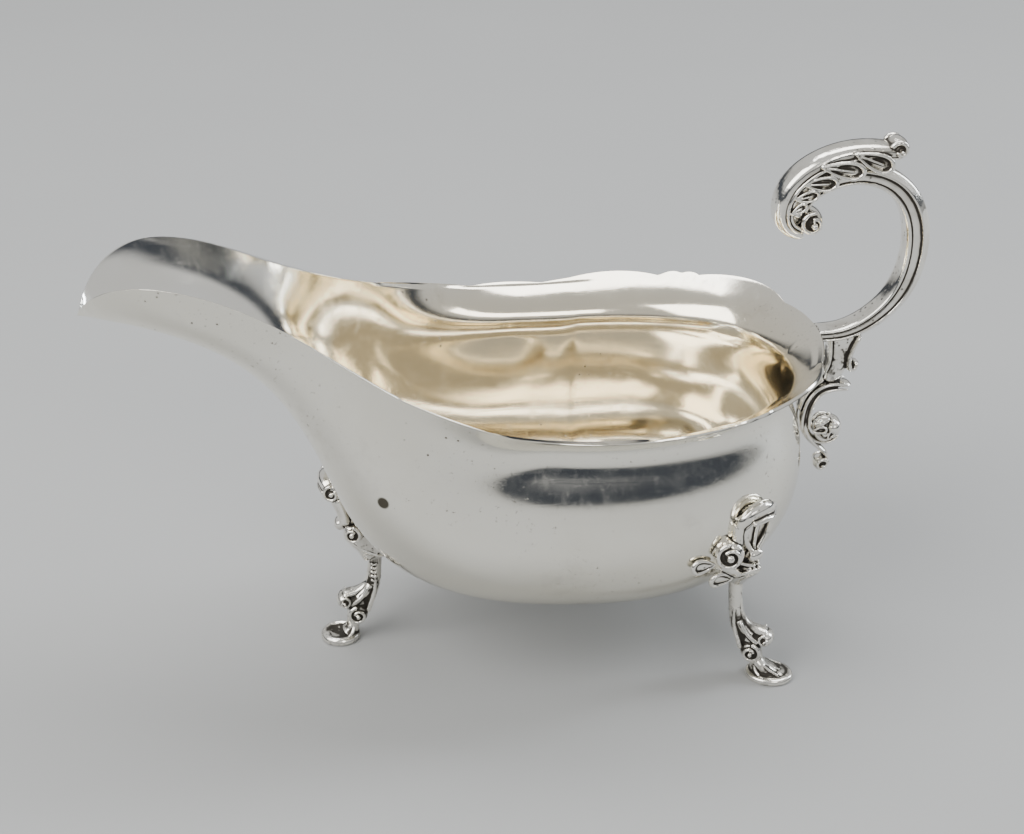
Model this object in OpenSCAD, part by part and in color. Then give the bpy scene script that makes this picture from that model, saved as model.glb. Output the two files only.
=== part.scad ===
// A small silver sauce boat on three cast legs, with a flying scroll handle.
// +X runs from the spout to the handle, +Z is up, and the feet stand on z = 0.
// The origin is under the middle of the length, on the centre plane.

/* [Bowl] */
// Length of the bowl, from the tip of the spout to the base line of the back rim
bowl_l = 160; // [130:1:200]
// Width of the bowl over its rim, before the wavy cut adds to it
bowl_w = 83; // [66:1:102]
// Height of the rim above the keel, at the widest place
bowl_depth = 53; // [44:1:66]
// Clearance under the keel
keel_z = 15.5; // [13:0.5:20]
// Thickness of the raised silver sheet
wall = 1; // [0.8:0.1:1.6]
// How much further out the lobes of the cut rim reach, as a multiple of the usual cut
rim_wave = 1; // [0:0.1:1.5]

/* [Handle] */
// How far the handle stands out behind the rim
handle_reach = 23.5; // [19:0.5:29]
// How far the curl on the handle stands above the back of the rim
handle_rise = 45; // [37:1:54]
// Width of the handle bar across the centre plane
bar_w = 5.6; // [4.5:0.1:7]
// Width of the leaf that caps the handle
leaf_w = 8; // [6.5:0.1:10]
// Width of the scroll bracket under the handle
bracket_w = 4.6; // [3.6:0.1:6]

/* [Legs] */
// How far the top of a leg lies in from the seat of its shell on the bowl
knee_in = 4.5; // [3.5:0.5:5.5]
// How far the middle of a foot stands out from the top of its leg
foot_out = 9; // [7.5:0.5:11]
// Angle between a rear shell and the centre plane
shell_turn = 62; // [56:1:68]
// Angle between a rear leg and the centre plane
leg_turn = 23; // [10:1:50]
// How far above the keel the front leg meets its shell
leg_rise = 6; // [5:0.5:7.5]
// Height of the cut between a leg and the pad foot below it
foot_h = 4; // [3.4:0.1:4.8]
// How much higher the rear legs meet theirs
rear_knee_rise = 3; // [2:0.1:3.6]
// Height of the shells that join the legs to the bowl
shell_h = 21.2; // [18:0.1:25.4]
// How much closer to the bowl the crests of the rear shells lie
rear_shell_lean = 4.8; // [4:0.1:5.8]
// Width of the shells
shell_w = 11; // [9:0.5:13.2]
// Diameter of the flat underside of a foot
pad_d = 8.4; // [7:0.2:10.2]
// How much longer than wide the rear feet are
rear_pad_stretch = 1.2; // [1:0.05:1.3]

/* [Hidden] */

silver = [0.80, 0.80, 0.77];
cast_silver = [0.72, 0.71, 0.67];

// Bowl lines, from the tip of the spout to the widest section. x is a share of the bowl's
// length, y of its half width, and z of its depth above the keel.
sheer = [[0, 0, 1.33], [0.016, 0.18, 1.46], [0.075, 0.337, 1.565], [0.169, 0.373, 1.51],
    [0.256, 0.398, 1.38], [0.35, 0.566, 1.225], [0.444, 0.807, 1.098], [0.5625, 0.952, 1.015],
    [0.7, 1, 1]];
keel = [[0, 1.33], [0.05, 1.325], [0.119, 1.285], [0.194, 1.175], [0.257, 0.99],
    [0.305, 0.72], [0.341, 0.38], [0.45, 0.085], [0.7, 0]];
// Half sections, from keel to rim: share of the half width, and share of the height
spout_section = [[0, 0], [0.4, 0], [0.66, 0.08], [0.84, 0.28], [0.93, 0.5], [0.97, 0.72],
    [0.99, 0.88], [1, 1]];
belly_section = [[0, 0], [0.36, 0], [0.66, 0.06], [0.86, 0.22], [0.925, 0.44], [0.9, 0.68],
    [0.79, 0.86], [0.86, 0.945], [1, 1]];
back_section = [[0, 0], [0.36, 0], [0.67, 0.06], [0.88, 0.21], [0.97, 0.43], [0.955, 0.65],
    [0.86, 0.84], [0.9, 0.93], [1, 1]];
spout_ends = 0.23;
belly_starts = 0.56;
back_rim_rise = 0.04;
corner_fullness = 0.95;
// The cut rim: where its notches are along the rim, and how far out each one is. The rim's
// station is 0 at the spout, 1 at the widest place and 2 at the back, and then mirrors.
notches = [[0, 0], [0.7, 0], [0.86, 0], [0.96, 0.1], [1.27, 1.4], [1.34, 2.4], [1.4, 2.4],
    [1.77, 1.5], [2.23, 1.5]];
// How far the edge bows out between one notch and the next
bows = [0, 0.6, 0.7, 1.5, 0.8, 0.6, 1.9, 0.4];

fore = 32;
aft = 14;
half = fore + aft;
loop = 2 * half;
levels = 14;

function unit(v) = v / norm(v);
function smooth(f) = let (c = min(max(f, 0), 1)) c * c * (3 - 2 * c);
function mix(a, b, f) = a * (1 - f) + b * f;

// A point on the smooth curve that a run of control points pulls, with s from 0 to 1
function cubic(a, b, c, d, f) = (a * pow(1 - f, 3) + b * (3 * pow(f, 3) - 6 * f * f + 4)
    + c * (-3 * pow(f, 3) + 3 * f * f + 3 * f + 1) + d * pow(f, 3)) / 6;
function run(c, s, lead, trail) =
    let (p = concat([lead], c, [trail]), x = min(max(s, 0), 0.99999) * (len(c) - 1), i = floor(x))
    cubic(p[i], p[i + 1], p[i + 2], p[i + 3], x - i);
function curve(c, s) = run(c, s, 2 * c[0] - c[1], 2 * c[len(c) - 1] - c[len(c) - 2]);

// Bowl surface, at station v (0 spout, 1 widest, 2 back) and level t (0 keel, 1 rim)
widest = sheer[len(sheer) - 1][0];
function sheer_at(v) = let (n = len(sheer), a = sheer[1], b = sheer[n - 2])
    run(sheer, v, [a[0], -a[1], a[2]], [2 * widest - b[0], b[1], b[2]]);
function keel_at(v) = let (n = len(keel), a = keel[0], b = keel[1], c = keel[n - 2])
    run(keel, v, 2 * a - b, [2 * widest - c[0], c[1]]);
function fore_point(v, t) =
    let (r = sheer_at(v), k = keel_at(v),
        full = smooth((k[0] - spout_ends) / (belly_starts - spout_ends)),
        sec = mix(curve(spout_section, t), curve(belly_section, t), full),
        x = mix(k[0], r[0], sec[1]), z = mix(k[1], r[2], sec[1]))
    [x * bowl_l, r[1] * sec[0] * bowl_w / 2, z * bowl_depth + keel_z];
function aft_point(turn, t) =
    let (r = sheer_at(1), k = keel_at(1), back = pow(sin(turn), 2),
        sec = mix(curve(belly_section, t), curve(back_section, t), back),
        reach = pow(sin(turn), corner_fullness), side = pow(cos(turn), corner_fullness),
        z = k[1] + (r[2] - k[1] + back_rim_rise * back) * sec[1])
    [(r[0] + (1 - r[0]) * reach * sec[0]) * bowl_l, r[1] * side * sec[0] * bowl_w / 2,
        z * bowl_depth + keel_z];
function plain(v, t) = v <= 1 ? fore_point(v, t) : aft_point((v - 1) * 90, t);
function cut_at(v) =
    let (i = max([for (n = [0 : len(bows) - 1]) v >= notches[n][0] ? n : 0]),
        a = notches[i], b = notches[i + 1], f = (v - a[0]) / (b[0] - a[0]))
    rim_wave * (mix(a[1], b[1], f) + bows[i] * 4 * f * (1 - f));
function skin_point(v, t) = let (p = plain(v, t))
    t < 1 ? p : p + cut_at(v) * unit(p - plain(v, 0.96));

function station(k) = k <= fore ? k / fore : 1 + (k - fore) / aft;
function around(k, t) = k <= half ? skin_point(station(k), t)
    : let (p = skin_point(station(loop - k), t)) [p[0], -p[1], p[2]];
outer = [for (j = [0 : levels]) [for (k = [0 : loop - 1]) around(k, j / levels)]];

// The direction from the outer skin to the inner one, square to the sheet
lip_lean = [0.9, 0, 0.3];
function next(k) = (k + 1) % loop;
function last(k) = (k + loop - 1) % loop;
function across(k) = (loop - k) % loop;
function inward(j, k) =
    k == 0 ? lip_lean
    : j == 0 && k >= fore && k <= loop - fore ? [0, 0, 1]
    : let (along = outer[j][next(k)] - outer[j][last(k)],
        up = j == 0 ? outer[1][k] - outer[1][across(k)]
            : outer[min(j + 1, levels)][k] - outer[j - 1][k])
        unit(cross(along, up));
function inner_point(j, k, depth) = outer[j][k] + depth * inward(j, k);

// The keel is one line and the tip is one point, so their repeats share a number
function shared(j, k) = k == 0 ? 0
    : j > 0 ? j * loop + k
    : min(k > half ? loop - k : k, fore);
function whole(faces) = [for (f = faces) if (f[0] != f[1] && f[1] != f[2] && f[0] != f[2]) f];
function quad(a, b, c, d) = [[a, b, c], [a, c, d]];

module bowl() {
    skin = (levels + 1) * loop;
    points = concat([for (j = [0 : levels]) each outer[j]],
        [for (j = [0 : levels]) for (k = [0 : loop - 1]) inner_point(j, k, wall)]);
    faces = concat(
        [for (j = [0 : levels - 1]) for (k = [0 : loop - 1])
            each quad(shared(j, k), shared(j, next(k)), shared(j + 1, next(k)), shared(j + 1, k))],
        [for (j = [0 : levels - 1]) for (k = [0 : loop - 1])
            each quad(skin + shared(j + 1, k), skin + shared(j + 1, next(k)),
                skin + shared(j, next(k)), skin + shared(j, k))],
        [for (k = [0 : loop - 1])
            each quad(shared(levels, k), shared(levels, next(k)),
                skin + shared(levels, next(k)), skin + shared(levels, k))]);
    color(silver) in_frame() polyhedron(points, whole(faces), convexity = 6);
}

// A solid under a patch of the bowl's outer skin, for cutting the backs of what sits on it
bite_depth = 7;
module bite(j0, j1, k0, k1) {
    rows = j1 - j0;
    cols = k1 - k0;
    top = [for (j = [j0 : j1]) for (k = [k0 : k1]) outer[j][k % loop]];
    under = [for (j = [j0 : j1]) for (k = [k0 : k1]) inner_point(j, k % loop, bite_depth)];
    n = len(top);
    function at(r, c) = r * (cols + 1) + c;
    faces = concat(
        [for (r = [0 : rows - 1]) for (c = [0 : cols - 1])
            each quad(at(r, c), at(r, c + 1), at(r + 1, c + 1), at(r + 1, c))],
        [for (r = [0 : rows - 1]) for (c = [0 : cols - 1])
            each quad(n + at(r + 1, c), n + at(r + 1, c + 1), n + at(r, c + 1), n + at(r, c))],
        [for (c = [0 : cols - 1])
            each quad(at(rows, c), at(rows, c + 1), n + at(rows, c + 1), n + at(rows, c))],
        [for (c = [0 : cols - 1])
            each quad(n + at(0, c), n + at(0, c + 1), at(0, c + 1), at(0, c))],
        [for (r = [0 : rows - 1])
            each quad(at(r, 0), at(r + 1, 0), n + at(r + 1, 0), n + at(r, 0))],
        [for (r = [0 : rows - 1])
            each quad(n + at(r, cols), n + at(r + 1, cols), at(r + 1, cols), at(r, cols))]);
    in_frame() polyhedron(concat(top, under), faces, convexity = 4);
}

// A bar swept along a curve in the plane of x and z. Each control point of the path is
// [x, z, thickness, width]. A bend of 1 makes the section oval, and less makes it squarer.
sides = 14;
bar_bend = 0.7;
function bent(a, bend) = sign(a) * pow(abs(a), bend);
function bar_ring(path, s, bend) =
    let (p = curve(path, s), a = curve(path, s - 0.01), b = curve(path, s + 0.01),
        way = unit([b[0] - a[0], 0, b[1] - a[1]]), out = [-way[2], 0, way[0]])
    [for (i = [0 : sides - 1]) let (turn = 360 * i / sides)
        [p[0], 0, p[1]] + out * bent(cos(turn), bend) * p[2] / 2
            + [0, bent(sin(turn), bend) * p[3] / 2, 0]];
function middle(ring) = [for (i = [0 : 2]) (ring[0][i] + ring[sides / 2][i]) / 2];
module loft(rings) {
    n = len(rings);
    last_ring = (n - 1) * sides;
    points = concat([for (r = rings) each r], [middle(rings[0]), middle(rings[n - 1])]);
    faces = concat(
        [for (r = [0 : n - 2]) for (i = [0 : sides - 1]) let (a = r * sides, m = (i + 1) % sides)
            each quad(a + i, a + m, a + sides + m, a + sides + i)],
        [for (i = [0 : sides - 1]) [n * sides, (i + 1) % sides, i]],
        [for (i = [0 : sides - 1]) [n * sides + 1, last_ring + i, last_ring + (i + 1) % sides]]);
    polyhedron(points, faces, convexity = 6);
}
module swept(path, steps, bend = bar_bend) {
    loft([for (i = [0 : steps]) bar_ring(path, i / steps, bend)]);
}

// Handle. Its points are shares of its reach and rise, from the middle of the back rim.
rim_back = skin_point(2, 1);
function hx(f) = rim_back[0] + f * handle_reach;
function hz(f) = rim_back[2] + f * handle_rise;
scroll_path = [for (p = [[-0.07, -0.02, 3.2], [0.22, -0.03, 3.8], [0.5, 0.035, 4.4],
    [0.77, 0.165, 5.2], [0.897, 0.37, 5.8], [0.87, 0.6, 5.8], [0.66, 0.765, 5.2],
    [0.34, 0.835, 4.6], [0.02, 0.82, 4.6], [-0.26, 0.74, 4.6], [-0.33, 0.62, 4.2]])
    [hx(p[0]), hz(p[1]), p[2], bar_w]];
volute_x = hx(-0.21);
volute_z = hz(0.615);
volute_d = 5.8;
scroll_steps = 40;
overall_l = max([for (i = [0 : scroll_steps])
    for (p = bar_ring(scroll_path, i / scroll_steps, bar_bend)) p[0]]);

module in_frame() {
    translate([-overall_l / 2, 0, 0]) children();
}

module across_bar(x, z, d, w) {
    translate([x, w / 2, z]) rotate([90, 0, 0]) cylinder(h = w, d = d, $fn = 48);
}

module handle_scroll() {
    color(cast_silver) difference() {
        in_frame() union() {
            swept(scroll_path, scroll_steps);
            across_bar(volute_x, volute_z, volute_d, bar_w + 0.8);
        }
        bite(levels - 4, levels, half - 2, half + 2);
    }
}

leaf_path = [for (p = [[0.66, 0.91, 3], [0.54, 0.94, 3.4], [0.36, 0.945, 4.2], [0.1, 0.935, 4.6],
    [-0.2, 0.875, 4.6], [-0.42, 0.765, 4.2], [-0.47, 0.62, 3.6], [-0.37, 0.54, 2.6],
    [-0.26, 0.53, 2]]) [hx(p[0]), hz(p[1]), p[2], leaf_w * min(1, 0.62 + p[2] / 12)]];
curl_x = hx(0.61);
curl_d = 5.6;
curl_z = hz(1) - curl_d / 2;
leaf_steps = 26;

module handle_leaf() {
    color(cast_silver) difference() {
        in_frame() union() {
            swept(leaf_path, leaf_steps);
            across_bar(curl_x, curl_z, curl_d, leaf_w * 0.85);
        }
        in_frame() swept(scroll_path, scroll_steps);
        in_frame() across_bar(volute_x, volute_z, volute_d, leaf_w);
    }
}

// Bracket. It hangs from the bar and bears on the back of the belly. Its points are
// measured along x from the belly, and in height as shares of the way from the boss up to
// the middle of the bar. The cradle under the boss is measured in boss diameters, so that the
// two still touch on a deeper bowl.
boss_d = 6;
boss_w = 5.6;
belly_back = bowl_l * 0.985;
boss_x = belly_back + 7.2;
boss_z = keel_z + bowl_depth * 0.6;
drop = hz(-0.02) - boss_z;
function hanging(points) = [for (p = points) [belly_back + p[0], boss_z + p[1] * drop, p[2], bracket_w]];
bracket_path = hanging([[8.8, 1, 6.4], [8.8, 0.8, 4.2], [7.9, 0.63, 4.6], [5, 0.5, 3.6],
    [2.2, 0.36, 3.2], [1, 0.18, 3], [1.2, 0.02, 3.2], [3.2, -0.14, 2.6], [6.6, -0.26, 2.2],
    [7.8, -0.39, 2]]);
cradle_path = [for (p = [[1.4, 0.16, 2], [2.6, -0.4, 2], [5.4, -0.64, 1.8], [8.4, -0.56, 1.4]])
    [belly_back + p[0], boss_z + p[1] * boss_d, p[2], bracket_w]];
bracket_steps = 30;
cradle_steps = 10;
curl_side_d = 4;
tail_d = 3.6;

module handle_bracket() {
    color(cast_silver) difference() {
        in_frame() union() {
            swept(bracket_path, bracket_steps);
            swept(cradle_path, cradle_steps);
            across_bar(belly_back + 10.4, boss_z + 0.66 * drop, curl_side_d, bracket_w);
            across_bar(belly_back + 6.7, boss_z - 0.44 * drop, tail_d, bracket_w);
        }
        bite(5, levels, half - 2, half + 2);
        in_frame() swept(scroll_path, scroll_steps);
        in_frame() across_bar(boss_x, boss_z, boss_d, bracket_w + 1);
    }
}

module bracket_boss() {
    color(cast_silver) in_frame() across_bar(boss_x, boss_z, boss_d, boss_w);
}

// Legs. Shell, leg and foot are made in frames whose x runs outwards from the middle of
// the knee, where the leg meets its shell, and whose z is the height.
front_seat = plain(0.75, 0);
rear_seat = plain(1.436, 0.5);
leg_h = keel_z + leg_rise;
function lean(name) = name == "front" ? 0 : rear_shell_lean;
function knee(name) = name == "front" ? leg_h : leg_h + rear_knee_rise;
function shell_path(name) = [for (p = [[8, 1, 5.4, 0.7], [6.8, 0.87, 6.4, 0.8], [5, 0.7, 7.6, 0.84],
    [3.6, 0.5, 8.6, 0.92], [2, 0.32, 9.6, 1], [-0.6, 0.15, 11, 0.96], [-2.6, -0.03, 11, 0.8]])
    [p[0] - lean(name) * p[1], knee(name) + p[1] * shell_h, p[2], p[3] * shell_w]];
crest_x = 10.3;
crest_d = 4;
side_scroll_x = 3.8;
side_scroll_rise = 0.45;
side_scroll_d = 6.4;
side_scroll_w = 1.6;
function leg_path(name) = concat([[0, knee(name) + 1.5, 3.6, 3.8]],
    [for (p = [[-0.02, 0.83, 3, 3.2], [0, 0.69, 3.1, 3.4], [0.2, 0.55, 3.6, 4],
        [0.49, 0.455, 4.6, 4.8], [0.61, 0.325, 4.2, 4.8]])
        [p[0] * foot_out, p[1] * leg_h, p[2], p[3]]],
    [[foot_out - 3.3, foot_h - 1.4, 3.2, 3.6]]);
ankle_x = 0.59 * foot_out;
ankle_z = 0.307 * leg_h;
ankle_d = 4.6;
ankle_w = 5.8;
toe_curl_x = 0.78 * foot_out;
toe_curl_z = 0.475 * leg_h;
toe_curl_d = 3.6;
toe_curl_w = 4.6;
foot_path = [for (p = [[-3.3, foot_h + 1.4, 3.2, 3.6], [-3.1, foot_h - 1, 3.2, 4],
    [-2.4, 1.9, 2.8, 5], [-1.6, 1.4, 1.8, 5.6]]) [foot_out + p[0], p[1], p[2], p[3]]];
leg_steps = 22;
shell_steps = 16;
foot_steps = 6;
pad_step = 0.4;
function oval(r, stretch) = [for (i = [0 : 47]) [r * stretch * cos(7.5 * i), r * sin(7.5 * i)]];
slab_w = 60;

module at_knee(name, turn) {
    side = name == "left" ? -1 : 1;
    if (name == "front")
        translate([front_seat[0] + knee_in, 0, 0]) rotate([0, 0, 180]) children();
    else
        translate([rear_seat[0] - knee_in * cos(shell_turn),
            side * (rear_seat[1] - knee_in * sin(shell_turn)), 0])
            rotate([0, 0, side * turn]) children();
}

// The bowl's skin under one leg
module leg_bite(name) {
    if (name == "front") {
        bite(0, 4, 18, 31);
        bite(0, 4, loop - 31, loop - 18);
    }
    if (name == "left") bite(1, 10, loop - fore - 11, loop - fore - 2);
    if (name == "right") bite(1, 10, fore + 2, fore + 11);
}

module slab(low, high) {
    translate([-slab_w / 2, -slab_w / 2, low]) cube([slab_w, slab_w, high - low]);
}

module shell(name) {
    color(cast_silver) difference() {
        in_frame() at_knee(name, shell_turn) intersection() {
            union() {
                swept(shell_path(name), shell_steps, 1);
                across_bar(crest_x - lean(name), knee(name) + shell_h, crest_d, shell_w / 2);
                across_bar(side_scroll_x - lean(name) * side_scroll_rise,
                    knee(name) + shell_h * side_scroll_rise, side_scroll_d,
                    shell_w + side_scroll_w);
            }
            slab(knee(name), knee(name) + shell_h + crest_d);
        }
        leg_bite(name);
    }
}

module leg(name) {
    color(cast_silver) in_frame() at_knee(name, leg_turn) intersection() {
        union() {
            swept(leg_path(name), leg_steps);
            across_bar(ankle_x, ankle_z, ankle_d, ankle_w);
            across_bar(toe_curl_x, toe_curl_z, toe_curl_d, toe_curl_w);
        }
        slab(foot_h, knee(name));
    }
}

module foot(name) {
    r = pad_d / 2;
    stretch = name == "front" ? 1 : rear_pad_stretch;
    color(cast_silver) in_frame() at_knee(name, leg_turn) union() {
        translate([foot_out, 0, 0]) {
            linear_extrude(1.8) polygon(oval(r, stretch));
            translate([0, 0, 0.5]) linear_extrude(0.8) polygon(oval(r + pad_step, stretch));
        }
        intersection() {
            swept(foot_path, foot_steps);
            slab(0.3, foot_h);
        }
    }
}

module front_shell() shell("front");
module left_shell() shell("left");
module right_shell() shell("right");
module front_leg() leg("front");
module left_leg() leg("left");
module right_leg() leg("right");
module front_foot() foot("front");
module left_foot() foot("left");
module right_foot() foot("right");

bowl();
handle_scroll();
handle_leaf();
handle_bracket();
bracket_boss();
front_shell();
left_shell();
right_shell();
front_leg();
left_leg();
right_leg();
front_foot();
left_foot();
right_foot();
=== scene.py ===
"""Silver sauce boat: raised bowl, flying scroll handle with a leaf cap, and three cast legs."""

import math

import bpy
import numpy as np
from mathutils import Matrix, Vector
from mathutils.bvhtree import BVHTree


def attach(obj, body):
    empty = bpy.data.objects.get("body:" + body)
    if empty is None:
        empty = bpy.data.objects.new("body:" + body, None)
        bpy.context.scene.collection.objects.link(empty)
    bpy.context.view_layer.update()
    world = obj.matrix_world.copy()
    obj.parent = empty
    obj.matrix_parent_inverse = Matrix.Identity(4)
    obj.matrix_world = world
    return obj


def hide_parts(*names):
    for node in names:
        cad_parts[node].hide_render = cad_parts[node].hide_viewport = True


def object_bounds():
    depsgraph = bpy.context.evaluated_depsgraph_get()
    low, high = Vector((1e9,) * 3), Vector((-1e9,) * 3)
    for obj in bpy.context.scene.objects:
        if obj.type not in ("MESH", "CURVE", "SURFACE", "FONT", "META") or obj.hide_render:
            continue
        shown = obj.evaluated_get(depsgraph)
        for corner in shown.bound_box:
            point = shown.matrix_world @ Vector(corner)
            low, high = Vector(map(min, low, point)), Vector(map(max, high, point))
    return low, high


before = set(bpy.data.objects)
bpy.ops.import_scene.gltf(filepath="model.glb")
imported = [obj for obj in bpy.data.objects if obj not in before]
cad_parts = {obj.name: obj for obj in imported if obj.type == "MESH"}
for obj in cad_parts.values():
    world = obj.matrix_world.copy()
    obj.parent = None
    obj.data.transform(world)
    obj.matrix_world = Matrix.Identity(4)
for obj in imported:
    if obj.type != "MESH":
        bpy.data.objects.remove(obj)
cad_low, cad_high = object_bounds()

# The workshop drawing is in millimetres from the tip of the spout, and this is one of them
DRAWN_LENGTH = 185.017
MM = (cad_high.x - cad_low.x) / DRAWN_LENGTH
TIP = np.array([cad_low.x, 0.0, cad_low.z])


def in_place(points):
    """Drawing points, in millimetres from the tip of the spout, as places in the frame"""
    return np.asarray(points, float) * MM + TIP


def unit(v):
    v = np.asarray(v, float)
    return v / np.maximum(np.linalg.norm(v, axis=-1, keepdims=True), 1e-9)


def spline(points, share, lead=None, trail=None):
    """A smooth curve pulled by its control points, at shares from 0 to 1 of its length"""
    c = np.asarray(points, float)
    lead = 2 * c[0] - c[1] if lead is None else np.asarray(lead, float)
    trail = 2 * c[-1] - c[-2] if trail is None else np.asarray(trail, float)
    c = np.vstack([lead, c, trail])
    x = np.clip(share, 0, 0.999999) * (len(c) - 3)
    i = x.astype(int)
    f = (x - i)[:, None]
    return (
        c[i] * (1 - f) ** 3
        + c[i + 1] * (3 * f**3 - 6 * f**2 + 4)
        + c[i + 2] * (-3 * f**3 + 3 * f**2 + 3 * f + 1)
        + c[i + 3] * f**3
    ) / 6


def heading(path, share):
    """Which way a path runs at these shares of its length"""
    ahead, behind = (spline(path, np.clip(share + step, 0, 1)) for step in (0.01, -0.01))
    return unit((ahead - behind)[:, :3])


def rounded_ends(share, tips):
    """How plump a rod is at these shares of its length, when its tips are rounded"""
    near = np.clip(np.minimum(share, 1 - share) / tips, 0, 1)
    return np.sqrt(np.clip(1 - (1 - near) ** 2, 0, 1))


def smooth_step(f):
    f = np.clip(f, 0, 1)
    return f * f * (3 - 2 * f)


# ---------------------------------------------------------------- hand tools


def put_down_tools():
    if bpy.context.object and bpy.context.object.mode != "OBJECT":
        bpy.ops.object.mode_set(mode="OBJECT")
    bpy.ops.object.select_all(action="DESELECT")


def take(piece):
    put_down_tools()
    piece.select_set(True)
    bpy.context.view_layer.objects.active = piece


def get_points(piece):
    flat = np.empty(len(piece.data.vertices) * 3)
    piece.data.vertices.foreach_get("co", flat)
    return flat.reshape(-1, 3)


def set_points(piece, points):
    piece.data.vertices.foreach_set("co", np.ascontiguousarray(points, float).ravel())
    piece.data.update()


def stitch(piece, gap=2e-6):
    """Joins the points that meet and turns every face outwards"""
    take(piece)
    bpy.ops.object.mode_set(mode="EDIT")
    bpy.ops.mesh.select_all(action="SELECT")
    bpy.ops.mesh.remove_doubles(threshold=gap)
    bpy.ops.mesh.normals_make_consistent(inside=False)
    bpy.ops.object.mode_set(mode="OBJECT")
    return piece


def hammered(along, around, place):
    """A flat grid of metal worked into the shape that place gives for its two shares"""
    put_down_tools()
    bpy.ops.mesh.primitive_grid_add(x_subdivisions=along, y_subdivisions=around, size=1)
    piece = bpy.context.object
    flat = get_points(piece)
    set_points(piece, in_place(place(flat[:, 0] + 0.5, flat[:, 1] + 0.5)))
    return stitch(piece)


def modifier(piece, kind, **settings):
    take(piece)
    m = piece.modifiers.new(kind.title(), kind)
    for key, value in settings.items():
        setattr(m, key, value)
    bpy.ops.object.modifier_apply(modifier=m.name)


def joined(parts, name):
    put_down_tools()
    for part in parts:
        part.select_set(True)
    bpy.context.view_layer.objects.active = parts[0]
    if len(parts) > 1:
        bpy.ops.object.join()
    piece = bpy.context.object
    piece.name = name
    piece.data.name = name
    return piece


def cast(parts, name, grain=0.16, polish=3):
    """Runs the parts together into one casting, with its joins softened"""
    piece = joined(parts, name)
    modifier(piece, "REMESH", mode="VOXEL", voxel_size=grain * MM, use_smooth_shade=True)
    modifier(piece, "SMOOTH", factor=0.5, iterations=polish)
    return piece


def tempered(across, power):
    return np.sign(across) * np.abs(across) ** power


def rod(path, up=(0, 1, 0), steps=40, around=14, square=1.0, tips=0.06):
    """A drawn rod. Each row of its path is x, y, z, thickness, width; width lies along up."""
    path = np.asarray(path, float)
    up = np.asarray(up, float)

    def place(a, b):
        p = spline(path, a)
        way = heading(path, a)
        out = unit(np.cross(way, np.broadcast_to(up, way.shape)))
        side = unit(np.cross(out, way))
        turn = 2 * np.pi * b
        plump = rounded_ends(a, tips)
        return (
            p[:, :3]
            + out * (tempered(np.cos(turn), square) * p[:, 3] * plump / 2)[:, None]
            + side * (tempered(np.sin(turn), square) * p[:, 4] * plump / 2)[:, None]
        )

    return hammered(steps, around, place)


def ball(centre, radii, rings=16):
    """A turned ball, drawn out to three half sizes"""
    put_down_tools()
    bpy.ops.mesh.primitive_uv_sphere_add(segments=2 * rings, ring_count=rings, radius=1)
    piece = bpy.context.object
    set_points(piece, in_place(get_points(piece) * np.asarray(radii, float) + np.asarray(centre)))
    return piece


def drum(centre, axis, radius, width, bulge=0.35):
    """A short turned drum with rounded edges, on any axis"""
    axis = unit(axis)
    first = unit(np.cross(axis, [0.3, 0.2, 1.0]))
    second = np.cross(axis, first)

    def place(a, b):
        t = np.pi * a
        r = radius * np.sin(t) ** bulge
        h = -np.cos(t) * width / 2
        turn = 2 * np.pi * b
        return (
            np.asarray(centre)
            + axis * h[:, None]
            + first * (r * np.cos(turn))[:, None]
            + second * (r * np.sin(turn))[:, None]
        )

    return hammered(16, 32, place)


def volute(centre, axis, top, radius, width, turns=1.35, wire=0.3, hand=1, inner=0.3):
    """A scroll end: a drum with a rounded coil raised on its face, and a button"""
    axis = unit(axis)
    top = unit(np.asarray(top, float) - axis * np.dot(top, axis))
    side = np.cross(axis, top) * hand
    centre = np.asarray(centre, float)
    coil = []
    count = 16
    for n in range(count + 1):
        f = n / count
        r = radius * ((1 - wire / 2) * (1 - f) + inner * f)
        turn = 2 * np.pi * turns * f
        p = centre + axis * width * (0.42 + 0.1 * f) + r * (top * math.cos(turn) + side * math.sin(turn))
        coil.append([*p, radius * wire * (1.15 - 0.35 * f), radius * wire * (1.25 - 0.3 * f)])
    return [
        drum(centre, axis, radius * 0.9, width * 0.9),
        rod(coil, up=axis, steps=70, around=12, tips=0.03),
        drum(centre + axis * width * 0.5, axis, radius * inner * 0.62, width * 0.5, bulge=0.6),
    ]


def lobe(root, end, lift, width, wire=0.5, vein=True, floor=0.3):
    """A leaf lobe: a raised border round a hollow, with a vein. It runs from root to end."""
    root, end, lift = (np.asarray(v, float) for v in (root, end, lift))
    along = end - root
    length = np.linalg.norm(along)
    lift = unit(lift)
    across = unit(np.cross(lift, along))
    outline = [(0, 0.0), (0.28, 0.3), (0.62, 0.52), (0.88, 0.46), (1.03, 0.0), (0.88, -0.46),
               (0.62, -0.52), (0.28, -0.3), (0, 0.0)]
    loop = [[*(root + along * u + across * v * width), wire * (0.55 + 0.6 * u), wire * (0.7 + 0.5 * u)]
            for u, v in outline]
    bed = [[*(root + along * u - lift * floor), wire, width * w]
           for u, w in ((0.02, 0.1), (0.3, 0.45), (0.62, 0.8), (0.98, 0.5))]
    parts = [rod(loop, up=lift, steps=56, around=10, tips=0.02), rod(bed, up=across, steps=14, around=12)]
    if vein:
        stem = [[*(root + along * u + lift * 0.02 * length), wire * w, wire * w]
                for u, w in ((0.1, 0.4), (0.4, 0.7), (0.78, 0.5))]
        parts.append(rod(stem, up=lift, steps=12, around=8))
    return parts


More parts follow.
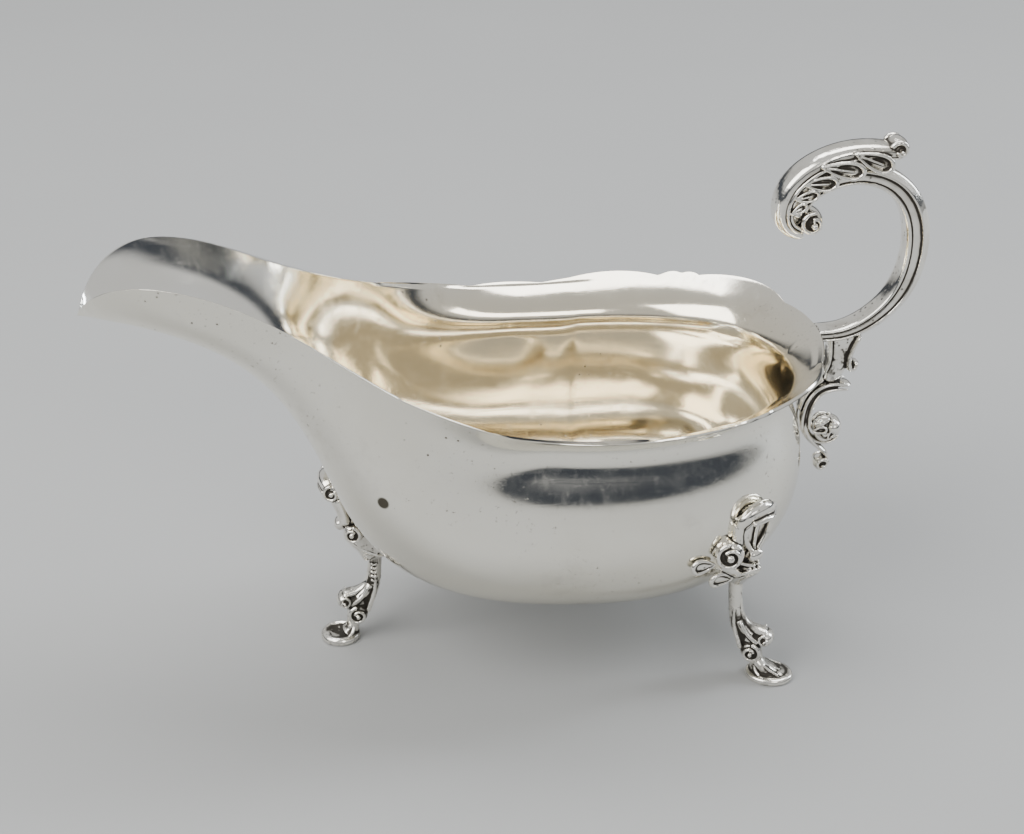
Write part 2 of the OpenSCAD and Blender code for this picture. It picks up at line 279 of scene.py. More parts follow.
def mirrored(parts_on_one_side):
    """A second set of the parts, each with its own mesh, on the other side of the centre plane"""
    made = []
    for part in parts_on_one_side:
        twin = part.copy()
        twin.data = part.data.copy()
        bpy.context.scene.collection.objects.link(twin)
        set_points(twin, get_points(twin) * np.array([1.0, -1.0, 1.0]))
        made.append(stitch(twin))
    return list(parts_on_one_side) + made


def mark_relief(piece, near=8, far=90):
    """Writes how hollow or how proud the metal is at each point, for the patina and painted shade in the
    hollows and for wear
    """
    mesh = piece.data
    points = get_points(piece)
    normals = np.empty(len(points) * 3)
    mesh.vertex_normals.foreach_get("vector", normals)
    normals = normals.reshape(-1, 3)
    edges = np.empty(len(mesh.edges) * 2, np.int32)
    mesh.edges.foreach_get("vertices", edges)
    a, b = edges.reshape(-1, 2).T
    count = np.maximum(np.bincount(a, minlength=len(points)) + np.bincount(b, minlength=len(points)), 1)
    eased = points.copy()
    found = {}
    for n in range(1, far + 1):
        total = np.stack([
            np.bincount(a, eased[b, k], len(points)) + np.bincount(b, eased[a, k], len(points))
            for k in range(3)], 1)
        eased = 0.5 * eased + 0.5 * total / count[:, None]
        if n in (near, far):
            found[n] = ((eased - points) * normals).sum(1) / MM
    for name, value in (("relief_fine", found[near]), ("relief", found[far])):
        layer = mesh.attributes.new(name, "FLOAT", "POINT")
        layer.data.foreach_set("value", value.astype(np.float32))


# ---------------------------------------------------------------- the bowl

BOWL_L, BOWL_W, BOWL_DEPTH, KEEL_Z, WALL = 160.0, 83.0, 53.0, 15.5, 1.0
SHEER = np.array([[0, 0, 1.33], [0.016, 0.18, 1.46], [0.075, 0.337, 1.565], [0.169, 0.373, 1.51],
                  [0.256, 0.398, 1.38], [0.35, 0.566, 1.225], [0.444, 0.807, 1.098],
                  [0.5625, 0.952, 1.015], [0.7, 1, 1]])
KEEL = np.array([[0, 1.33], [0.05, 1.325], [0.119, 1.285], [0.194, 1.175], [0.257, 0.99],
                 [0.305, 0.72], [0.341, 0.38], [0.45, 0.085], [0.7, 0]])
SPOUT_SECTION = [[0, 0], [0.4, 0], [0.66, 0.08], [0.84, 0.28], [0.93, 0.5], [0.97, 0.72],
                 [0.99, 0.88], [1, 1]]
BELLY_SECTION = [[0, 0], [0.36, 0], [0.66, 0.06], [0.86, 0.22], [0.925, 0.44], [0.9, 0.68],
                 [0.79, 0.86], [0.86, 0.945], [1, 1]]
BACK_SECTION = [[0, 0], [0.36, 0], [0.67, 0.06], [0.88, 0.21], [0.97, 0.43], [0.955, 0.65],
                [0.86, 0.84], [0.9, 0.93], [1, 1]]
SPOUT_ENDS, BELLY_STARTS, BACK_RIM_RISE, CORNER_FULLNESS = 0.23, 0.56, 0.04, 0.95
NOTCHES = [[0, 0], [0.7, 0], [0.86, 0], [0.96, 0.1], [1.27, 1.4], [1.34, 2.4], [1.4, 2.4],
           [1.77, 1.5], [2.23, 1.5]]
BOWS = [0, 0.6, 0.7, 1.5, 0.8, 0.6, 1.9, 0.4]
WIDEST = SHEER[-1][0]


def plain_bowl(v, t):
    """Bowl skin at station v (0 spout, 1 widest, 2 back) and level t (0 keel, 1 rim)"""
    fore = np.minimum(v, 1)
    a, b, c, d = SHEER[1], SHEER[-2], KEEL[1], KEEL[-2]
    rim = spline(SHEER, fore, [a[0], -a[1], a[2]], [2 * WIDEST - b[0], b[1], b[2]])
    low = spline(KEEL, fore, 2 * KEEL[0] - c, [2 * WIDEST - d[0], d[1]])
    spout, belly, back = (spline(s, t) for s in (SPOUT_SECTION, BELLY_SECTION, BACK_SECTION))
    full = smooth_step((low[:, 0] - SPOUT_ENDS) / (BELLY_STARTS - SPOUT_ENDS))[:, None]
    section = spout * (1 - full) + belly * full
    x = low[:, 0] + (rim[:, 0] - low[:, 0]) * section[:, 1]
    y = rim[:, 1] * section[:, 0]
    z = low[:, 1] + (rim[:, 2] - low[:, 1]) * section[:, 1]
    turn = np.clip(v - 1, 0, 1) * np.pi / 2
    behind = (np.sin(turn) ** 2)[:, None]
    section = belly * (1 - behind) + back * behind
    reach, side = np.sin(turn) ** CORNER_FULLNESS, np.abs(np.cos(turn)) ** CORNER_FULLNESS
    ax = rim[:, 0] + (1 - rim[:, 0]) * reach * section[:, 0]
    ay = rim[:, 1] * side * section[:, 0]
    az = low[:, 1] + (rim[:, 2] - low[:, 1] + BACK_RIM_RISE * behind[:, 0]) * section[:, 1]
    aft = v > 1
    x, y, z = np.where(aft, ax, x), np.where(aft, ay, y), np.where(aft, az, z)
    y = np.where((v > 1.999999) | (t < 1e-6), 0, y)
    return np.stack([x * BOWL_L, y * BOWL_W / 2, z * BOWL_DEPTH + KEEL_Z], 1)


def rim_cut(v):
    """How far the lobes of the cut rim reach beyond the plain edge"""
    reach = np.zeros_like(v)
    for (v0, out0), (v1, out1), bow in zip(NOTCHES, NOTCHES[1:], BOWS):
        f = (v - v0) / (v1 - v0)
        here = (f >= 0) & (f < 1)
        reach = np.where(here, out0 * (1 - f) + out1 * f + bow * 4 * f * (1 - f), reach)
    return reach


def bowl_skin(v, t, beyond=0):
    p = plain_bowl(v, np.minimum(t, 1))
    edge = unit(p - plain_bowl(v, np.minimum(t, 1) - 0.04))
    return p + edge * (rim_cut(v) * beyond)[:, None]


STATIONS, LEVELS, LIP_ROWS = 210, 66, 4


def raise_bowl():
    share = 1 - LIP_ROWS / LEVELS

    def place(a, b):
        t = b / share
        beyond = np.clip((b - share) / (1 - share), 0, 1)
        return bowl_skin(2 * a, t, beyond)

    bowl = hammered(STATIONS, LEVELS, place)
    modifier(bowl, "MIRROR", use_axis=(False, True, False), use_clip=True, merge_threshold=2e-5)
    stitch(bowl, 1e-5)
    keel = min(bowl.data.polygons, key=lambda f: f.center.z)
    if keel.normal.z > 0:
        bowl.data.flip_normals()
    bowl.name = bowl.data.name = "bowl_of_boat"
    return bowl


bowl = raise_bowl()
skin = BVHTree.FromPolygons([v.co for v in bowl.data.vertices],
                            [p.vertices[:] for p in bowl.data.polygons])


def skin_reach(start, way):
    """Where a straight line from start first meets the outside of the bowl, in drawing points"""
    hit = skin.ray_cast(Vector(in_place(start)), Vector(way))[0]
    return None if hit is None else (np.array(hit) - TIP) / MM


def seat_on_bowl(piece, sink=0.45):
    """Files the back of a casting to the bowl, so that it goes no deeper than the solder"""
    points = get_points(piece)
    for n, p in enumerate(points):
        spot, normal, _, _ = skin.find_nearest(Vector(p), 6 * MM)
        if spot is None:
            continue
        depth = (Vector(p) - spot).dot(normal)
        if depth < -sink * MM:
            points[n] = spot - normal * sink * MM
    set_points(piece, points)


# ---------------------------------------------------------------- the handle

RIM_BACK = bowl_skin(np.array([2.0]), np.array([1.0]), np.array([1.0]))[0]
REACH, RISE, BAR_W = 23.5, 45.0, 5.6
# The middle of the volute at the bar's free end
FREE_END = (157.5, 0, 98.9)


def hx(share):
    return RIM_BACK[0] + share * REACH


def hz(share):
    return RIM_BACK[2] + share * RISE


BAR_PATH = [[hx(a), 0, hz(b), t, BAR_W] for a, b, t in (
    (-0.07, -0.02, 3.2), (0.22, -0.03, 3.8), (0.5, 0.035, 4.4), (0.77, 0.165, 5.2),
    (0.897, 0.37, 5.8), (0.87, 0.6, 5.8), (0.66, 0.765, 5.2), (0.34, 0.835, 4.6),
    (0.02, 0.82, 4.6), (-0.26, 0.74, 4.6), (-0.33, 0.62, 4.2))]
# Half outline of the bar's section, from its outer crest to its inner edge: share of half
# thickness, share of half width
BAR_SECTION = [(1, 0), (0.99, 0.3), (0.9, 0.5), (0.42, 0.95), (0.3, 1.0), (0.22, 0.88), (0.12, 0.88),
               (-0.2, 0.92), (-0.44, 0.9), (-0.56, 0.8), (-0.68, 1.0), (-0.88, 0.94), (-0.97, 0.7),
               (-1, 0.4), (-1, 0)]


def bar():
    half = np.array(BAR_SECTION)
    ring = np.vstack([half, (half * [1, -1])[-2:0:-1]])
    ring = np.vstack([ring, ring[:1]])
    path = np.array(BAR_PATH)

    def place(a, b):
        p = spline(path, a)
        way = heading(path, a)
        out = unit(np.cross(way, np.broadcast_to([0.0, -1.0, 0.0], way.shape)))
        x = b * (len(ring) - 1)
        i = np.minimum(x.astype(int), len(ring) - 2)
        f = (x - i)[:, None]
        sec = ring[i] * (1 - f) + ring[i + 1] * f
        plump = rounded_ends(a, 0.01)
        return (p[:, :3] + out * (sec[:, 0] * p[:, 3] * plump / 2)[:, None]
                + np.array([0, 1.0, 0]) * (sec[:, 1] * p[:, 4] * plump / 2)[:, None])

    return hammered(260, 84, place)


def handle_bar():
    parts = [bar()]
    for hand in (1, -1):
        parts += volute(FREE_END, (0, -hand, 0), (0.4, 0, 1), 3.1, 7.4,
                        turns=1.1, wire=0.3, hand=hand, inner=0.42)
    return cast(parts, "handle_bar", grain=0.17, polish=3)


LEAF_PATH = [[hx(a), 0, hz(b), t, w] for a, b, t, w in (
    (0.66, 0.92, 2.4, 5.6), (0.54, 0.935, 3.2, 6.4), (0.36, 0.94, 4.0, 7), (0.1, 0.93, 4.6, 7),
    (-0.2, 0.87, 4.6, 7), (-0.42, 0.765, 4.2, 7), (-0.47, 0.62, 3.8, 6.8), (-0.36, 0.545, 3.4, 6.4),
    (-0.22, 0.53, 2.6, 6))]
# How far out each face of the leaf lies from the centre plane
LEAF_FACE = 3.75
# How far the middle of the thumb rest lies below the top of the handle
CURL_DROP = 2.5


def handle_leaf():
    path = np.array(LEAF_PATH)
    parts = [rod(path, steps=70, around=24, square=0.8, tips=0.04)]

    def offset(out, y, thick, wide, start=0.0, end=1.0, count=12):
        """A rib that follows the leaf at a stand-off from its middle line"""
        s = np.linspace(start, end, count)
        p = spline(path, s)
        way = heading(path, s)
        outward = unit(np.cross(way, np.broadcast_to([0.0, 1.0, 0.0], way.shape)))
        q = p[:, :3] + outward * (out * p[:, 3] / 2)[:, None]
        q[:, 1] = y * p[:, 4] / 2
        along = (s - start) / (end - start)
        taper = np.sqrt(np.sin(np.pi * (0.08 + 0.84 * along)))
        return [[*q[n], thick * taper[n], wide * taper[n]] for n in range(count)]

    parts.append(rod(offset(0.92, 0, 1.3, 2.9), steps=80, around=12))
    one_side = [
        rod(offset(0.72, 0.72, 1.5, 1.5), steps=80, around=12),
        rod(offset(0.3, 0.98, 0.8, 0.8, 0.12, 0.95), steps=80, around=10),
    ]
    # leaf lobes down each face: where each is rooted and ends, its width and its border
    for root, end, width, wire in (
        ((165.6, 114.6), (174.2, 111.0), 3.8, 0.95),
        ((158.3, 112.0), (168.0, 110.3), 3.7, 0.95),
        ((154.7, 108.2), (162.2, 108.2), 3.1, 0.85),
        ((153.0, 104.8), (158.2, 105.9), 2.3, 0.7),
        ((152.3, 101.4), (155.6, 103.6), 1.7, 0.6),
    ):
        one_side += lobe((root[0], 0.2 - LEAF_FACE, root[1]), (end[0], -LEAF_FACE, end[1]),
                         (0, -1, 0), width, wire, floor=0.6)
    parts += mirrored(one_side)
    curl = (hx(0.61), 0, (cad_high.z - cad_low.z) / MM - CURL_DROP)
    parts.append(drum(curl, (0, 1, 0), 2.35, 6.2, bulge=0.5))
    for hand in (-1, 1):
        parts += volute(curl, (0, hand, 0), (-1, 0, 0.3), 2.6, 6.0, turns=0.9, wire=0.42, hand=hand,
                        inner=0.25)
    return cast(parts, "handle_leaf_cap", grain=0.15, polish=3)


# ---------------------------------------------------------------- the bracket

BRACKET_W = 4.6


def bracket():
    w = BRACKET_W
    parts = [
        rod([[167.5, 0, 71.6, 7.0, w * 0.62], [167.2, 0, 67.8, 5.2, w * 0.6],
             [166.8, 0, 64.4, 4.6, w * 0.6],
             [165.8, 0, 60.8, 4.2, w * 0.66], [164.4, 0, 58.9, 2.6, w * 0.7]], steps=30, square=0.7),
        rod([[171.2, 0, 70.8, 1.4, w], [169.6, 0, 67.6, 1.5, w], [168.7, 0, 64.8, 1.6, w],
             [168.9, 0, 62.4, 1.8, w], [170.4, 0, 61.9, 1.8, w * 0.9],
             [170.9, 0, 64.0, 1.3, w * 0.75]], steps=34),
        rod([[164.0, 0, 71.0, 1.2, w], [164.4, 0, 67.6, 1.1, w], [164.4, 0, 64.4, 1.1, w],
             [163.2, 0, 61.6, 1.2, w]], steps=24),
        rod([[170.2, 0, 57.9, 0.9, w * 0.7], [168.6, 0, 58.3, 1.6, w * 0.85],
             [165.4, 0, 58.7, 2.1, w * 0.95],
             [162.1, 0, 57.6, 2.2, w], [160.2, 0, 54.9, 2.3, w], [159.4, 0, 51.4, 2.2, w],
             [159.6, 0, 48.2, 2.1, w], [160.6, 0, 45.4, 1.9, w * 0.95], [163.2, 0, 42.8, 1.5, w * 0.85],
             [165.6, 0, 40.6, 1.3, w * 0.8], [166.1, 0, 38.2, 1.3, w * 0.75],
             [164.6, 0, 36.5, 1.3, w * 0.7],
             [163.0, 0, 37.6, 1.2, w * 0.65]], steps=90),
        rod([[163.6, 0, 60.2, 0.8, w * 0.8], [160.9, 0, 58.4, 1.0, w * 0.9], [158.9, 0, 55.8, 1.1, w * 0.9],
             [158.2, 0, 52.2, 1.0, w * 0.8]], steps=24),
        rod([[159.9, 0, 48.6, 1.4, w * 0.85], [161.0, 0, 45.2, 1.3, w * 0.85],
             [163.6, 0, 43.6, 1.2, w * 0.8],
             [166.4, 0, 43.7, 1.1, w * 0.75], [168.2, 0, 45.2, 0.9, w * 0.6]], steps=30),
    ]
    edge = w / 2
    one_side = [
        rod([[169.4, -edge, 58.4, 0.6, 0.6], [165.4, -edge, 59.4, 0.8, 0.8], [161.7, -edge, 58.2, 0.8, 0.8],
             [159.5, -edge, 55.2, 0.8, 0.8], [158.7, -edge, 51.2, 0.8, 0.8],
             [158.9, -edge, 47.8, 0.7, 0.7]],
            steps=50, around=8),
        rod([[169.2, -edge, 57.5, 0.6, 0.6], [165.4, -edge, 57.8, 0.8, 0.8], [162.6, -edge, 56.9, 0.8, 0.8],
             [161.1, -edge, 54.4, 0.8, 0.8], [160.3, -edge, 51.2, 0.8, 0.8],
             [160.6, -edge, 47.8, 0.7, 0.7]],
            steps=50, around=8),
    ]
    parts += mirrored(one_side)
    for hand in (-1, 1):
        parts += volute((164.4, 0, 38.0), (0, hand, 0), (1, 0, 0.3), 2.0, w * 0.85, turns=0.9, wire=0.4,
                        hand=-hand, inner=0.3)
    return cast(parts, "handle_bracket_scroll", grain=0.14, polish=2)


BOSS = (164.8, 0, 47.3)


def boss():
    """A ball wrapped in leaves, open in the middle of each face"""
    x, _, z = BOSS
    parts = [ball(BOSS, (2.7, 2.3, 2.7)), ball((x + 1.7, 0, z + 0.3), (2.1, 3.1, 2.3))]
    one_side = []
    for start, end, out in ((-60, 70, 2.9), (75, 160, 2.75), (175, 285, 2.8)):
        arc = []
        for n in range(8):
            turn = math.radians(start + (end - start) * n / 7)
            swell = math.sin(math.pi * (n + 0.6) / 8.2)
            arc.append([x + out * math.cos(turn) * (0.96 - 0.12 * swell), -1.25 - 0.7 * swell,
                        z + out * math.sin(turn) * (0.96 - 0.12 * swell), 0.7 + 0.7 * swell,
                        0.7 + 0.9 * swell])
        one_side.append(rod(arc, steps=30, around=12))
    one_side += lobe((x - 3.4, -1.9, z - 0.3), (x - 0.2, -2.7, z + 0.5), (0, -1, 0.1),
                     1.5, 0.55, vein=False)
    one_side += lobe((x + 0.2, -2.6, z - 2.4), (x + 1.6, -2.6, z + 0.2), (0, -1, 0.1), 1.2, 0.5, vein=False)
    one_side.append(ball((x - 0.5, -2.4, z - 0.9), (0.65, 0.65, 0.65), rings=8))
    parts += mirrored(one_side)
    return cast(parts, "handle_bracket_ball", grain=0.13, polish=2)


# ---------------------------------------------------------------- the legs

SHELL_TURN, LEG_TURN = math.radians(62), math.radians(23)
KNEE_IN, FOOT_OUT, KNEE_Z, REAR_KNEE_RISE = 4.5, 9.0, 21.5, 3.0
FRONT_SEAT = plain_bowl(np.array([0.75]), np.array([0.0]))[0]
REAR_SEAT = plain_bowl(np.array([1.436]), np.array([0.5]))[0]
# The front line of a shell: how far out it stands from the knee, at shares of the shell's height
SHELL_H, REAR_SHELL_LEAN = 21.2, 4.8
SHELL_FRONT = [(-0.03, 2.9), (0.15, 4.9), (0.32, 6.8), (0.5, 7.9), (0.7, 8.8), (0.87, 10.0), (1.0, 10.7)]


class Corner:
    """Where one leg stands: its knee, and which way its shell and its foot point"""

    def __init__(self, name):
        self.name = name
        side = {"front": 0, "left": -1, "right": 1}[name]
        if side == 0:
            self.knee = np.array([FRONT_SEAT[0] + KNEE_IN, 0.0])
            self.shell_way = self.leg_way = np.array([-1.0, 0.0])
            self.knee_z = KNEE_Z
        else:
            self.shell_way = np.array([math.cos(SHELL_TURN), side * math.sin(SHELL_TURN)])
            self.leg_way = np.array([math.cos(LEG_TURN), side * math.sin(LEG_TURN)])
            self.knee = np.array([REAR_SEAT[0], side * REAR_SEAT[1]]) - KNEE_IN * self.shell_way
            self.knee_z = KNEE_Z + REAR_KNEE_RISE
        # which side of the shell looks towards the spout; both do on the front leg
        self.spoutward = side
        lean = REAR_SHELL_LEAN if side else 0
        self.rises = [r * SHELL_H for r, _ in SHELL_FRONT]
        self.outline = [out - lean * r for r, out in SHELL_FRONT]

    def at(self, way, out, across, z):
        beside = np.array([-way[1], way[0]])
        flat = self.knee + way * out + beside * across
        return np.array([flat[0], flat[1], z])

    def on_leg(self, out, across, z):
        return self.at(self.leg_way, out, across, z)

    def on_shell(self, out, across, rise):
        return self.at(self.shell_way, out, across, self.knee_z + rise)

    def skin_out(self, across, rise):
        """How far out from the knee the bowl's skin lies"""
        hit = skin_reach(self.on_shell(40, across, rise), (-self.shell_way[0], -self.shell_way[1], 0))
        return 0.0 if hit is None else float((hit[:2] - self.knee) @ self.shell_way)

    def hung(self, rise):
        """How far the shell's body stands off the bowl at this height"""
        return max(0.0, np.interp(rise, self.rises, self.outline) - self.skin_out(0, rise) - 2.3)

    def off_bowl(self, stand, across, rise):
        """A point on the shell, raised by stand above its body"""
        return self.on_shell(self.skin_out(across, rise) + self.hung(rise) + stand, across, rise)

    def under_bowl(self, stand, out, across):
        """A point on the bowl's underside, raised by stand off its skin"""
        start = self.at(self.shell_way, out, across, -5)
        spot, normal, _, _ = skin.ray_cast(Vector(in_place(start)), Vector((0, 0, 1)))
        return (np.array(spot) - TIP) / MM + np.array(normal) * stand

    def shell_axis(self, across, out, up=0):
        beside = np.array([-self.shell_way[1], self.shell_way[0]])
        flat = self.shell_way * out + beside * across
        return np.array([flat[0], flat[1], up])


def sized(points, sizes):
    return [[*p, *s] for p, s in zip(points, sizes)]


def shell(corner):
    at, rel = corner.off_bowl, corner.on_shell
    out_way = corner.shell_axis(0, 1)
    beside = corner.shell_axis(1, 0)
    heart = []
    fullness = 2.1 if corner.name == "front" else 1.15
    for rise, width in ((3, 6.8), (6.5, 8.2), (10, 9.0), (13.5, 9.8), (17, 10.2), (20, 9.6)):
        inner = corner.skin_out(0, rise) - 0.4
        outer = corner.skin_out(0, rise) + corner.hung(rise) + fullness
        heart.append([*rel((inner + outer) / 2, 0, rise), outer - inner, width])
    parts = [
        rod(heart, up=beside, steps=40, around=22, square=0.8),
        # the rolled crest, with a second roll in front of it
        rod(sized([at(1.1, -5.0, 17.4), at(1.8, -4.4, 19.6), at(2.3, -2.3, 21.0), at(2.5, 0, 21.5),
                   at(2.3, 2.3, 21.0), at(1.8, 4.4, 19.6), at(1.1, 5.0, 17.4)],
                  [(1.8, 1.6), (2.8, 2.5), (3.5, 3.3), (3.8, 3.7), (3.5, 3.3), (2.8, 2.5), (1.8, 1.6)]),
            up=out_way, steps=44, around=16),
        rod(sized([at(3.5, -3.4, 19.0), at(4.3, 0, 19.7), at(3.5, 3.4, 19.0)],
                  [(1.1, 1.3), (1.5, 1.7), (1.1, 1.3)]),
            up=out_way, steps=30, around=10),
        # the vein down the middle of the hollow
        rod(sized([at(1.5, 0.2, 17.8), at(1.2, 0.2, 15.4), at(1.3, 0.1, 12.8), at(1.8, 0, 10.6)],
                  [(1.0, 0.8), (1.1, 1.1), (1.0, 0.9), (0.9, 0.6)]), up=beside, steps=30, around=12),
        # the body between the shell and the leg, and the knuckle on its front
        rod(sized([rel(0.4, 0, 0.0), rel(0.7, 0, 1.8), rel(1.4, 0, 4.2), rel(2.2, 0, 7.4)],
                  [(3.7, 3.9), (4.4, 4.8), (6.4, 6.2), (6.0, 6.8)]), up=beside, steps=24, around=18,
                  tips=0.02),
        rod(sized([rel(1.0, 0, 4.8), rel(3.8, 0, 5.2), rel(6.6, 0, 6.1)],
                  [(5.0, 6.6), (4.2, 5.6), (2.0, 3.0)]),
            up=beside, steps=24, around=18),
        rod(sized([rel(6.9, 0, 6.1), rel(4.6, 0, 4.1), rel(2.2, 0, 2.2), rel(0.6, 0, 0.2)],
                  [(1.8, 2.6), (2.8, 5.6), (3.2, 5.6), (3.4, 3.8)]), up=beside, steps=24, around=18),
        drum(at(2.7, 0, 9.3), beside, 1.45, 3.6, bulge=0.5),
    ]
    for side in (-1, 1):
        towards_spout = corner.spoutward in (0, side)
        parts += [
            # the raised border of the hollow, round at the top and drawn to a point below
            rod(sized([at(2.3, side * 0.3, 18.9), at(2.2, side * 2.6, 18.7), at(2.0, side * 4.0, 16.9),
                       at(1.9, side * 3.7, 14.6), at(1.9, side * 2.3, 12.2), at(2.1, side * 0.9, 10.4),
                       at(2.4, side * 0.2, 9.2)],
                      [(1.0, 1.0), (1.3, 1.3), (1.4, 1.4), (1.4, 1.4), (1.3, 1.3), (1.2, 1.1), (1.0, 1.0)]),
                up=beside, steps=56, around=12),
            # the edge of the ledge, down to the collar
            rod(sized([rel(7.2, side * 0.2, 6.2), rel(5.4, side * 2.3, 4.9), rel(2.8, side * 3.2, 3.3),
                       rel(0.4, side * 3.2, 1.9), rel(-1.6, side * 2.7, 1.2)],
                      [(1.1, 1.1), (1.1, 1.0), (1.1, 1.0), (1.0, 0.9), (0.6, 0.6)]), up=(0, 0, 1),
                      steps=36, around=10),
            rod(sized([rel(6.8, side * 0.3, 6.9), rel(5.0, side * 2.0, 6.9), rel(3.6, side * 3.2, 7.4)],
                      [(0.8, 0.8), (0.9, 0.9), (0.8, 0.8)]), up=(0, 0, 1), steps=20, around=10),
        ]
        if towards_spout:
            parts.append(rod(sized([at(1.1, side * 4.9, 18.4), at(1.0, side * 5.0, 16),
                                    at(1.1, side * 4.8, 13.8), at(1.3, side * 5.4, 11.8)],
                                   [(2.4, 2.2), (2.6, 2.6), (2.6, 3.0), (2.4, 2.8)]),
                             up=beside, steps=30, around=12))
            if corner.name == "front":
                parts += volute(at(0.2, side * 4.6, 9.0), corner.shell_axis(side, 0.35, 0), (0, 0, 1),
                                2.5, 2.4,
                                turns=1.15, wire=0.3, hand=-side, inner=0.4)
                parts += volute(at(1.6, side * 4.6, 19.8), corner.shell_axis(side, 0.25, 0.1),
                                (0, 0, 1), 2.3, 2.2,
                                turns=0.9, wire=0.3, hand=side, inner=0.4)
            else:
                parts += volute(at(1.3, side * 6.8, 11.5), corner.shell_axis(side * 0.55, 0.8, 0.05),
                                (0, 0, 1),
                                3.6, 4.2, turns=1.15, wire=0.27, hand=-side, inner=0.42)
        else:
            parts.append(rod(sized([at(0.4, side * 4.7, 18.2), at(0.2, side * 4.4, 15.6),
                                    at(0.1, side * 3.8, 12.6), at(0.1, side * 2.8, 9.2)],
                                   [(1.8, 1.6), (2.0, 1.8), (2.0, 1.8), (2.0, 1.6)]),
                             up=beside, steps=30, around=12))
        # the small leaves beside the knee
        if corner.spoutward == 0:
            parts += lobe(corner.under_bowl(0.5, -4.5, side * 3.2),
                          corner.under_bowl(0.4, -11.5, side * 5.6),
                          (0, side * -0.4, -1), 2.8, 0.7, vein=False)
        elif towards_spout:
            parts += lobe(at(1.6, side * 4.2, 3.6), at(1.4, side * 10.4, 5.2),
                          corner.shell_axis(side * 0.4, 0.8, -0.1),
                          3.4, 1.0, vein=False, floor=0.3)
            parts += lobe(at(1.2, side * 9.8, 9.4), at(1.1, side * 15.4, 9.8),
                          corner.shell_axis(side * 0.6, 0.8, 0),
                          3.2, 0.95, vein=False, floor=0.3)
            parts.append(rod(sized([at(0.4, side * 2.6, 4.4), at(0.4, side * 5.4, 6.6),
                                    at(0.3, side * 8.2, 8.6)],
                                   [(3.0, 4.2), (3.0, 4.6), (2.4, 3.2)]), up=out_way, steps=20, around=14))
    piece = cast(parts, corner.name + "_leg_shell", grain=0.15, polish=2)
    seat_on_bowl(piece)
    return piece


def leg(corner):
    at = corner.on_leg
    beside = unit(at(0, 1, 0) - at(0, 0, 0))
    top = corner.knee_z
    parts = [
        rod(sized([at(0.3, 0, top + 0.9), at(0.4, 0, 20.4), at(0.5, 0, 16.6), at(1.2, 0, 13.4),
                   at(3.0, 0, 10.2),
                   at(4.9, 0, 7.2), at(5.9, 0, 5.0), at(6.0, 0, 3.4)],
                  [(3.4, 3.5), (3.1, 3.2), (3.0, 3.1), (3.6, 3.5), (4.8, 4.2), (4.4, 4.2), (3.2, 3.4),
                   (3.0, 3.4)]),
            up=beside, steps=50, around=18, tips=0.02),
        # the ridge down the front, that rolls over into the curl above the toe
        rod(sized([at(1.7, 0, 20.0), at(1.8, 0, 17.0), at(2.4, 0, 14.4), at(4.2, 0, 12.6), at(6.4, 0, 11.9),
                   at(8.2, 0, 11.7)],
                  [(0.8, 1.2), (1.0, 1.5), (1.3, 2.0), (1.7, 2.8), (2.0, 3.6), (1.8, 3.8)]),
                  up=beside, steps=50, around=14),
        drum(at(7.8, 0, 10.4), beside, 1.85, 4.4, bulge=0.45),
        rod(sized([at(3.2, 0, 10.4), at(5.4, 0, 9.9), at(7.2, 0, 10.0)],
                  [(3.4, 4.6), (3.8, 5.0), (2.6, 4.2)]),
            up=beside, steps=14, around=14),
        rod(sized([at(1.4, 0, 14.6), at(2.8, 0, 12.2), at(5.0, 0, 10.8)],
                  [(2.4, 3.6), (3.4, 4.6), (2.8, 4.8)]),
            up=beside, steps=14, around=14),
        drum(at(5.0, 0, 7.0), beside, 2.3, 4.4, bulge=0.5),
    ]
    for side in (-1, 1):
        parts += volute(at(4.9, side * 1.2, 7.1), beside * side, (0, 0, 1), 2.7, 3.8, turns=1.2, wire=0.3,
                        hand=side, inner=0.34)
        parts += volute(at(7.8, side * 0.9, 10.4), beside * side, (0, 0, 1), 1.7, 3.2, turns=0.9, wire=0.36,
                        hand=-side, inner=0.3)
        parts += [
            rod(sized([at(2.6, side * 2.3, 7.6), at(1.9, side * 2.2, 9.8), at(1.0, side * 1.9, 12.2),
                       at(0.5, side * 1.5, 15), at(0.7, side * 1.3, 18.4)],
                      [(1.1, 1.0), (1.2, 1.1), (1.1, 1.0), (0.8, 0.7), (0.5, 0.5)]),
                      up=beside, steps=36, around=10),
            rod(sized([at(2.2, side * 1.7, 14.2), at(3.4, side * 2.1, 12.0), at(5.0, side * 2.3, 10.6),
                       at(6.4, side * 2.2, 9.6)],
                      [(0.7, 0.7), (1.0, 0.9), (1.1, 1.0), (0.9, 0.8)]), up=beside, steps=30, around=10),
        ]
        for n in range(6 if corner.name == "front" else 0):
            parts.append(rod(sized([at(0.0, side * 1.45, 14.6 + 1.1 * n),
                                    at(0.8, side * 1.75, 14.3 + 1.1 * n),
                                    at(1.6, side * 1.35, 14.7 + 1.1 * n)], [(0.5, 0.55)] * 3),
                             up=(0, 0, 1), steps=8, around=8))
    return cast(parts, corner.name + "_leg_scroll", grain=0.13, polish=2)


PAD = 4.2


